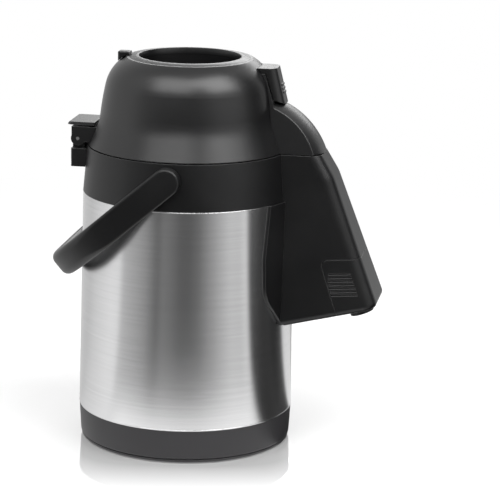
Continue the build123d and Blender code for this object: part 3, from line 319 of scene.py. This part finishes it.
def moulded(name, colour, rough, grain, edge, lift, sheen=0.5):
    """Moulded plastic: fine spark-eroded grain, faint cloudiness, and edges painted paler and made smoother,
    partly as rubbed wear and partly as a painted highlight along them.
    """
    finish = Finish(bpy.data.materials.new(name))
    place = finish.node("ShaderNodeTexCoord", out=3)
    round_edge = finish.node("ShaderNodeBevel", {"samples": 4}, {"Radius": edge})
    face = finish.node("ShaderNodeNewGeometry", out=1)
    alike = finish.node("ShaderNodeVectorMath", {"operation": "DOT_PRODUCT"}, {0: round_edge, 1: face}, out=1)
    # Mask of the rounded edges, which are painted paler below: partly rubbed wear, partly a painted
    # highlight.
    edge_wear_and_highlight = finish.step(1.0 - alike, 0.01, 0.22)
    fine = finish.noise(place, 2600.0, 2.0)
    smear = finish.step(finish.noise(place, 14.0, 4.0), 0.35, 0.75)
    bump = finish.node(
        "ShaderNodeBump",
        None,
        {"Strength": grain, "Distance": 0.00006, "Height": fine, "Normal": round_edge},
    )
    finish.close(finish.node("ShaderNodeBsdfPrincipled", None, {
        # Edges painted paler by lift: partly rubbed wear, partly a painted highlight along edges and seams.
        "Base Color": finish.blend(edge_wear_and_highlight * 0.80 + smear * 0.06, paler(colour), paler(colour, lift)),
        "Roughness": rough + fine * 0.05 + smear * 0.04 - edge_wear_and_highlight * 0.08,
        "Normal": bump,
        "Specular IOR Level": sheen,
    }))
    return finish


base_matt = moulded("base_matt", (0.019, 0.018, 0.020), rough=0.46, grain=0.5, edge=0.0005, lift=0.05)
coat("swivel_foot", base_matt)


def rubber(name, colour, rough):
    """Moulded rubber: matt, with a dusty bloom and a fine speckle."""
    finish = Finish(bpy.data.materials.new(name))
    place = finish.node("ShaderNodeTexCoord", out=3)
    speckle = finish.node("ShaderNodeTexVoronoi", None, {"Vector": place, "Scale": 1800.0})
    dust = finish.step(finish.noise(place, 60.0, 5.0), 0.45, 0.8)
    bump = finish.node("ShaderNodeBump", None, {"Strength": 0.4, "Distance": 0.00005, "Height": speckle})
    finish.close(finish.node("ShaderNodeBsdfPrincipled", None, {
        "Base Color": finish.blend(dust * 0.35, paler(colour), paler(colour, 0.05)),
        "Roughness": rough + dust * 0.1,
        "Normal": bump,
    }))
    return finish


pad_rubber = rubber("pad_rubber", (0.025, 0.025, 0.026), rough=0.75)
coat("foot_pads", pad_rubber)


def turned_steel(name, tone, rough, lines):
    """Plain zinc-coated or turned steel: bright, with fine scratches and faint mottling."""
    finish = Finish(bpy.data.materials.new(name))
    place = finish.node("ShaderNodeTexCoord", out=3)
    mottle = finish.noise(place, 240.0, 4.0)
    scratch = finish.noise(place, lines, 2.0)
    dull, bright = (tone * 0.86, tone * 0.86, tone * 0.85), (tone, tone, tone * 1.01)
    bump = finish.node("ShaderNodeBump", None, {"Strength": 0.25, "Distance": 0.00003, "Height": scratch})
    finish.close(finish.node("ShaderNodeBsdfPrincipled", None, {
        "Base Color": finish.blend(mottle, paler(dull), paler(bright)),
        "Metallic": 1.0,
        "Roughness": rough + mottle * 0.12,
        "Normal": bump,
    }))
    return finish


fastener_zinc = turned_steel("fastener_zinc", tone=0.62, rough=0.28, lines=2200.0)
coat("foot_washer", fastener_zinc)
coat("foot_screw", fastener_zinc)

# Base ring: a dark grey moulded cup that the steel body drops into. Its side flares slightly and its lower
# edge is rounded. A rubber ring inside cushions the liner.
coat("base_ring", base_matt)
coat("liner_cushion", pad_rubber)

# Outer shell: a drawn stainless tube, brushed round and round with a belt, so fine level lines cover it and
# stretch every reflection up and down. Its two ends are rolled over into thin bright beads.
shell_brush = Finish(bpy.data.materials.new("shell_brush"))
shell_place = shell_brush.node("ShaderNodeTexCoord", out=3)
hair_scale, band_scale = (26.0, 26.0, 5200.0), (9.0, 9.0, 700.0)
hair_place = shell_brush.node("ShaderNodeMapping", None, {"Vector": shell_place, "Scale": hair_scale})
hair = shell_brush.noise(hair_place, 1.0, 3.0)
band_place = shell_brush.node("ShaderNodeMapping", None, {"Vector": shell_place, "Scale": band_scale})
band = shell_brush.noise(band_place, 1.0, 4.0)
handled = shell_brush.step(shell_brush.noise(shell_place, 11.0, 5.0), 0.4, 0.8)
brush_bump = shell_brush.node(
    "ShaderNodeBump", None, {"Strength": 0.14, "Distance": 0.00004, "Height": hair * 0.7 + band * 0.3}
)
shell_dull, shell_bright = (0.62, 0.62, 0.625), (0.86, 0.86, 0.865)
shell_brush.close(shell_brush.node("ShaderNodeBsdfPrincipled", None, {
    "Base Color": shell_brush.blend(hair * 0.6 + band * 0.4, paler(shell_dull), paler(shell_bright)),
    "Metallic": 1.0,
    "Roughness": 0.17 + hair * 0.08 + handled * 0.04,
    "Anisotropic": 0.75,
    "Anisotropic Rotation": 0.25,
    "Normal": brush_bump,
}))
coat("outer_shell", shell_brush)


class Jig:
    """A geometry tree with named inputs. Its result is taken off as a plain mesh."""

    def __init__(self, name, inputs):
        self.tree = bpy.data.node_groups.new(name, "GeometryNodeTree")
        self.tree.interface.new_socket("Geometry", in_out="OUTPUT", socket_type="NodeSocketGeometry")
        self.sockets = {}
        for key, kind in inputs.items():
            made = self.tree.interface.new_socket(key, in_out="INPUT", socket_type="NodeSocket" + kind)
            self.sockets[key] = made.identifier
        self.entry = self.tree.nodes.new("NodeGroupInput")
        self.exit = self.tree.nodes.new("NodeGroupOutput")

    def size(self, key):
        """The input of that name."""
        return next(socket for socket in self.entry.outputs if socket.name == key)

    def node(self, kind, settings=None, sockets=None):
        """Adds a node. Sockets take values, or outputs to link from."""
        made = self.tree.nodes.new(kind)
        for key, value in (settings or {}).items():
            setattr(made, key, value)
        for key, value in (sockets or {}).items():
            for one in value if isinstance(value, list) else [value]:
                if isinstance(one, bpy.types.NodeSocket):
                    self.tree.links.new(one, made.inputs[key])
                else:
                    made.inputs[key].default_value = one
        return made.outputs

    def make(self, name, result, values):
        """Runs the tree on an empty mesh and gives the finished piece."""
        self.tree.links.new(result, self.exit.inputs[0])
        blank = put(name + "_jig", bpy.data.meshes.new(name + "_jig"))
        modifier = blank.modifiers.new("jig", "NODES")
        modifier.node_group = self.tree
        for key, value in values.items():
            modifier[self.sockets[key]] = value
        shaped = blank.evaluated_get(bpy.context.evaluated_depsgraph_get())
        mesh = bpy.data.meshes.new_from_object(shaped)
        blank.modifiers.remove(modifier)
        bpy.data.objects.remove(blank)
        return put(name, mesh)


def smooth(mesh, sharp=180.0):
    """Shades a mesh smoothly, with hard edges where it turns by more than that many degrees."""
    for face in mesh.polygons:
        face.use_smooth = True
    mesh.set_sharp_from_angle(angle=math.radians(sharp))


shell_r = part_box("outer_shell")[1].x
base_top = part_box("base_ring")[1].z
collar_low, collar_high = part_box("collar")
bead_jig = Jig("shell_beads", {"Low radius": "Float", "High radius": "Float", "Low height": "Float",
                               "High height": "Float", "Bead": "Float", "Steel": "Material"})
bead_rings = []
for end in ("Low", "High"):
    ring = bead_jig.node("GeometryNodeCurvePrimitiveCircle", None,
                         {"Resolution": 240, "Radius": bead_jig.size(end + " radius")})
    lift_to = bead_jig.node("ShaderNodeCombineXYZ", None, {"Z": bead_jig.size(end + " height")})
    lifted = bead_jig.node("GeometryNodeSetPosition", None, {"Geometry": ring[0], "Offset": lift_to[0]})
    bead_rings.append(lifted[0])
bead_path = bead_jig.node("GeometryNodeJoinGeometry", None, {0: bead_rings})
bead_round = bead_jig.node("GeometryNodeCurvePrimitiveCircle", None,
                           {"Resolution": 12, "Radius": bead_jig.size("Bead")})
bead_tube = bead_jig.node("GeometryNodeCurveToMesh", None,
                          {"Curve": bead_path[0], "Profile Curve": bead_round[0]})
bead_real = bead_jig.node("GeometryNodeRealizeInstances", None, {0: bead_tube[0]})
bead_steel = bead_jig.node("GeometryNodeSetMaterial", None,
                           {"Geometry": bead_real[0], "Material": bead_jig.size("Steel")})
bead_r, bead_sunk, bead_gap = 0.0005, 0.0004, 0.0001
shell_beads = bead_jig.make("shell_beads", bead_steel[0], {
    "Low radius": shell_r - bead_sunk,
    "High radius": collar_high.x - bead_sunk,
    "Low height": base_top + bead_gap + bead_r,
    "High height": collar_low.z - bead_gap - bead_r,
    "Bead": bead_r,
    "Steel": shell_brush.owner,
})
smooth(shell_beads.data)
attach(shell_beads, "vessel")

# Inner liner: a seamless stainless flask that holds the coffee, smoother and brighter inside than the outer
# shell, with a rubber ring on its mouth that the collar presses on.
liner_bright = turned_steel("liner_bright", tone=0.66, rough=0.14, lines=500.0)
coat("inner_liner", liner_bright)
seal_silicone = rubber("seal_silicone", (0.42, 0.42, 0.40), rough=0.45)
coat("neck_seal", seal_silicone)

# Collar: the dark moulded ring that closes the top of the body, with a deck and a sleeve down into the
# liner's neck. The bail and the hinge are fixed to it.
# Its lift paints edges and seams paler: partly rubbed wear, partly a painted highlight.
body_satin = moulded(
    "body_satin", (0.0036, 0.0036, 0.0039), rough=0.32, grain=0.45, edge=0.0007, lift=0.080, sheen=0.42
)
coat("collar", body_satin)

# Coffee path: a natural plastic tube stands in the coffee, an elbow seals it in the neck, and a second tube
# runs through the collar and down the spout to the nozzle.
tube_natural = Finish(bpy.data.materials.new("tube_natural"))
tube_haze = tube_natural.noise(tube_natural.node("ShaderNodeTexCoord", out=3), 90.0, 3.0)
tube_natural.close(tube_natural.node("ShaderNodeBsdfPrincipled", None, {
    "Base Color": tube_natural.blend(tube_haze, paler((0.60, 0.59, 0.55)), paler((0.74, 0.73, 0.70))),
    "Roughness": 0.28 + tube_haze * 0.12,
    "Subsurface Weight": 0.15,
}))
for name in ("dip_tube", "tube_elbow", "delivery_tube"):
    coat(name, tube_natural)

# Spout: a long box-like housing that leans out from the collar, on a thin curved saddle that lies against
# the steel. The nozzle points down and out from under its nose.
coat("saddle", body_satin)
coat("spout_housing", body_satin)
coat("nozzle", body_satin)

# Tip cover: the pull-off end of the spout, with finger grooves in its sides. It slides off along the nozzle
# so that both can be washed.
coat("tip_cover", body_satin)

# Dome: the bell-shaped lid shell in satin black, a little greyer than the body's plastic, with a round well
# in its crown for the push button.
dome_satin = moulded(
    "dome_satin", (0.0036, 0.0036, 0.0039), rough=0.30, grain=0.6, edge=0.0006, lift=0.032, sheen=0.66
)
coat("dome", dome_satin)


def skin(shape, rings):
    """Faces from each ring of points to the next."""
    for ring, following in zip(rings, rings[1:]):
        for corner in range(len(ring)):
            after = (corner + 1) % len(ring)
            shape.faces.new((ring[corner], following[corner], following[after], ring[after]))


def lathe(name, profile, steps=256):
    """A turned piece of the dome: a closed outline of radii and heights, which may change with the turn."""
    shape = bmesh.new()
    rings = []
    for step in range(steps):
        turn = 2.0 * math.pi * step / steps
        rings.append([
            shape.verts.new((radius * math.cos(turn), radius * math.sin(turn), height))
            for radius, height in profile(turn)
        ])
    skin(shape, rings + rings[:1])
    bmesh.ops.recalc_face_normals(shape, faces=shape.faces)
    mesh = bpy.data.meshes.new(name)
    shape.to_mesh(mesh)
    shape.free()
    smooth(mesh, 35.0)
    mesh.materials.append(dome_satin.owner)
    piece = put(name, mesh)
    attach(piece, "lid")


def ease(share):
    """0 to 1, level at both ends."""
    share = min(max(share, 0.0), 1.0)
    return share * share * (3.0 - 2.0 * share)


def wall_r(height):
    """The dome's own wall, which leans in more and more with height above its waist."""
    up = height - dome_low.z - waist_up
    return waist_r - waist_lean * up - waist_curl * up * up


def skirt_outline(turn):
    """The flared foot over the dome's own, which sinks into the wall beside the hinge."""
    sunk = 0.0
    if math.cos(turn) < 0.0:
        sunk = 1.0 - ease((abs(math.sin(turn)) * straight_r - hinge_half - hinge_gap) / hinge_blend)
    outer = []
    for height, gain in zip(skirt_heights, skirt_gains):
        proud = skirt_proud * min((skirt_top - height) / skirt_lap, 1.0) - skirt_tuck
        radius = wall_r(height) + proud + gain * skirt_gain
        outer.append((radius + sunk * (min(wall_r(height), straight_r) - skirt_sunk - radius), height))
    return outer + [(radius - skirt_wall, height) for radius, height in reversed(outer[1::5])]


dome_low, dome_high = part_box("dome")
waist_up, waist_r, waist_lean, waist_curl = 0.0281, 0.06771, 0.136, 2.3
straight_r = 0.0677
hinge_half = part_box("hinge_yoke")[1].y
hinge_gap, hinge_blend = 0.0012, 0.006
skirt_foot_r, skirt_foot = dome_high.x - 0.00005, dome_low.z + 0.0001
skirt_top = dome_low.z + 0.0321
skirt_wall, skirt_sunk = 0.0012, 0.0016
skirt_lap, skirt_proud = 0.014, 0.00025
skirt_tuck = 0.00012  # its upper edge lies that far inside the dome's wall
flare_tall, flare_blend, flare_lean, flare_more = 0.0285, 0.0145, 0.34, 0.20
skirt_rows = 36
skirt_heights = [skirt_top + (skirt_foot - skirt_top) * row / skirt_rows for row in range(skirt_rows + 1)]
skirt_gains = [0.0]
for height in skirt_heights[1:]:
    below = dome_low.z + flare_tall - height
    flare = ease(below / flare_blend) * (flare_lean + flare_more * below / flare_tall)
    skirt_gains.append(skirt_gains[-1] + flare)
skirt_gain = (skirt_foot_r - wall_r(skirt_foot) - skirt_proud + skirt_tuck) / skirt_gains[-1]
lathe("dome_skirt", skirt_outline)
mouth_r = 0.0392
lip_outline = [
    (0.0, -0.004), (0.0, 0.0009), (0.00015, 0.0012), (0.0006, 0.0013), (0.0023, 0.00115), (0.0043, 0.0008),
    (0.0060, 0.0003), (0.0069, 0.00007), (0.0072, -0.00002), (0.0066, -0.0007), (0.0022, -0.0016),
    (0.0012, -0.004),
]
lathe("mouth_lip", lambda turn: [(mouth_r + out, dome_high.z + up) for out, up in lip_outline])

# Lid underside: a natural plastic plate screwed to four lugs in the dome, with a rubber gasket that seals the
# neck and a small flap valve that lets air out of the pump.
coat("lid_plate", tube_natural)
coat("lid_gasket", seal_silicone)
coat("air_valve", seal_silicone)
coat("plate_screws", fastener_zinc)

# Pump: a pleated silicone bellows that stands on the lid plate, with a steel coil spring inside it. The push
# button squeezes it, and the spring opens it again.
coat("bellows", seal_silicone)
coat("return_spring", fastener_zinc)

# Push button: a shallow dished cap that fills the well in the crown and slides in it on a short skirt. It is
# pressed down deep in the well, so that it shows only its dark top.
coat("button", body_satin)

# Button lock: a small block with rounded corners behind the well. It stands on a stem through the dome's
# crown and slides a few degrees round it.
coat("button_lock", body_satin)

# Front cap, spine and slider: the lid's front hump carries on the spout's line, and the ribbed slider on its
# upright spine lets the lid go.
coat("front_cap", dome_satin)
coat("lock_slider", dome_satin)

# Rear hinge: a yoke on the lid turns on a steel pin through the knuckle of a block on the collar. Both are
# moulded, and three fine grooves run across the back of the block.
coat("hinge_yoke", body_satin)
coat("hinge_block", body_satin)
coat("hinge_pin", fastener_zinc)

# Hinge release: a flat lever over the yoke with a small beak to lift it by, more polished than the rest. It
# turns on a steel pin between two ears of the yoke.
lever_polished = moulded(
    "lever_polished", (0.020, 0.020, 0.021), rough=0.20, grain=0.3, edge=0.0005, lift=0.05, sheen=0.7
)
coat("release_lever", lever_polished)
coat("release_pin", fastener_zinc)


# Bail: one moulded U-shaped handle that swings on two studs in the collar. Its grip has softly rounded ends.
# Washers and screws inside the collar hold the studs.
def grip_ring(side, bend):
    """One section of the grip at that angle of the bend. Its outer corners are the rounder ones."""
    outward = bail_arm * math.sin(bend) + Vector((0.0, side * math.cos(bend), 0.0))
    face = bail_pivot + bail_arm * bend_out + Vector((0.0, side * bend_side, 0.0)) + outward * bend_r
    thick = bail_thick + grip_thicker * math.sin(bend)
    round_out = bail_edge + outer_more * ease(bend / outer_blend)
    round_in = bail_edge + inner_more * ease(bend / inner_blend)
    ring = []
    for quarter in range(4):
        round_r = round_out if quarter in (0, 3) else round_in
        middle = -round_r if quarter in (0, 3) else round_r - thick
        level = (bail_half - round_r) * (1.0 if quarter < 2 else -1.0)
        for step in range(corner_points):
            angle = math.radians(90.0 * (quarter + step / (corner_points - 1)))
            out = middle + round_r * math.cos(angle)
            up = level + round_r * math.sin(angle)
            ring.append(bail_shape.verts.new(face + outward * out + bail_rise * up))
    return ring


bail_pivot = Vector((0.0, 0.0, 0.2195))
bail_lean = math.radians(41.0)
bail_arm = Vector((-math.cos(bail_lean), 0.0, -math.sin(bail_lean)))
bail_rise = Vector((-math.sin(bail_lean), 0.0, math.cos(bail_lean)))
bail_half, bail_thick, grip_thicker = 0.0105, 0.010, 0.001
bail_edge, outer_more, inner_more = 0.002, 0.0042, 0.001
outer_blend, inner_blend = math.radians(32.0), math.radians(50.0)
bend_r, bend_steps, corner_points = 0.068, 30, 8
arm_cut = 0.0005  # each arm is cut that far before its bend
weld = 0.000002

bail_mesh = nodes["bail_handle"].data.copy()
bail_mesh.name = "bail_grip"
bail_shape = bmesh.new()
bail_shape.from_mesh(bail_mesh)
bmesh.ops.remove_doubles(bail_shape, verts=bail_shape.verts, dist=weld)
bail_reach = max((corner.co - bail_pivot).dot(bail_arm) for corner in bail_shape.verts)
bend_out = bail_reach - bend_r
bend_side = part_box("bail_handle")[1].y - bend_r
kept = bmesh.ops.bisect_plane(
    bail_shape,
    geom=bail_shape.verts[:] + bail_shape.edges[:] + bail_shape.faces[:],
    dist=0.0000001,
    plane_co=bail_pivot + bail_arm * (bend_out - arm_cut),
    plane_no=bail_arm,
    clear_outer=True,
)
cut_edges = [part for part in kept["geom_cut"] if isinstance(part, bmesh.types.BMEdge)]
bends = [math.radians(90.0 * step / bend_steps) for step in range(bend_steps + 1)]
grip_rings = [grip_ring(1.0, bend) for bend in bends] + [grip_ring(-1.0, bend) for bend in reversed(bends)]
skin(bail_shape, grip_rings)
for side, ring in ((1.0, grip_rings[0]), (-1.0, grip_rings[-1])):
    ring_edges = [bail_shape.edges.get((ring[corner], ring[corner - 1])) for corner in range(len(ring))]
    arm_edges = [edge for edge in cut_edges if edge.verts[0].co.y * side > 0.0]
    bmesh.ops.bridge_loops(bail_shape, edges=ring_edges + arm_edges)
bmesh.ops.recalc_face_normals(bail_shape, faces=bail_shape.faces)
bail_shape.to_mesh(bail_mesh)
bail_shape.free()
smooth(bail_mesh, 28.0)
bail_mesh.materials.clear()
bail_mesh.materials.append(body_satin.owner)
bail_grip = put("bail_grip", bail_mesh)
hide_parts("bail_handle")
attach(bail_grip, "bail")
coat("bail_washers", fastener_zinc)
coat("bail_screws", fastener_zinc)
